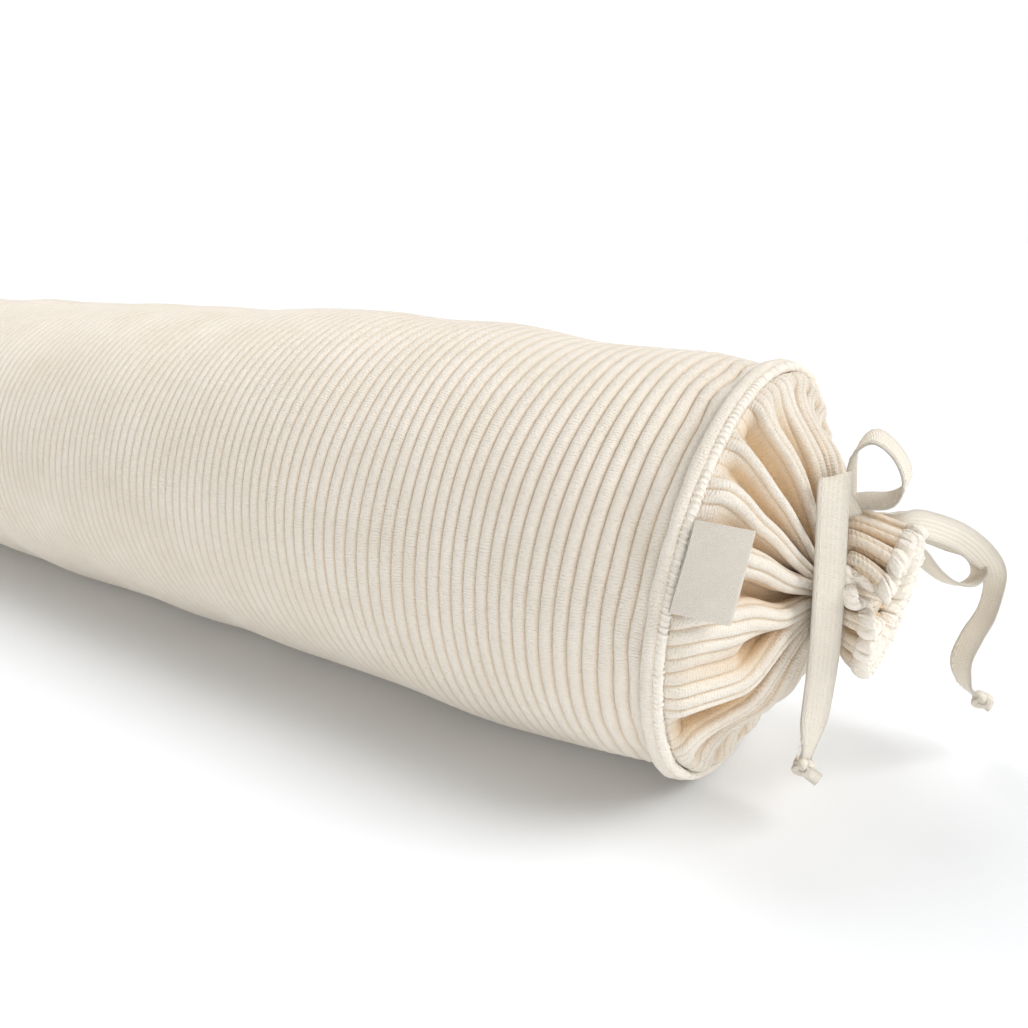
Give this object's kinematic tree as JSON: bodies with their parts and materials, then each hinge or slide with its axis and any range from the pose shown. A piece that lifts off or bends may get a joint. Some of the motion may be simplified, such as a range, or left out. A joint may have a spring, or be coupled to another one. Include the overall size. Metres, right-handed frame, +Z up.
{
  "type": "bolster cushion",
  "caption": "Long round bolster in ribbed velour with one end gathered into pleats and tied with a cotton tape bow, lying on its side.",
  "frame": {"origin": "middle of the cushion's length on its flat underside, where it rests", "axes": "+X runs along the cushion toward the tied end, +Z is up, and -Y is the front, which carries the label"},
  "size_m": [0.9194, 0.162, 0.1595],
  "materials": {
    "ribbed_velour": "matte, wide rounded ribs with a short soft pile",
    "seam_thread": "matte overlocked thread",
    "tape_cotton": "matte flat cotton tape",
    "label_cotton": "matte plain woven ribbon"
  },
  "bodies": {
    "root": {"tube_panel": "ribbed_velour", "gathered_end": "ribbed_velour", "far_panel": "ribbed_velour", "seam_ridge_tied": "seam_thread", "seam_ridge_far": "seam_thread", "label_tab": "label_cotton", "tie_wrap": "tape_cotton", "tie_knot": "tape_cotton", "bow_loop_front": "tape_cotton", "bow_loop_back": "tape_cotton", "tie_tail_front": "tape_cotton", "tie_tail_back": "tape_cotton", "tail_knot_front": "tape_cotton", "tail_knot_back": "tape_cotton"}
  },
  "joints": []
}
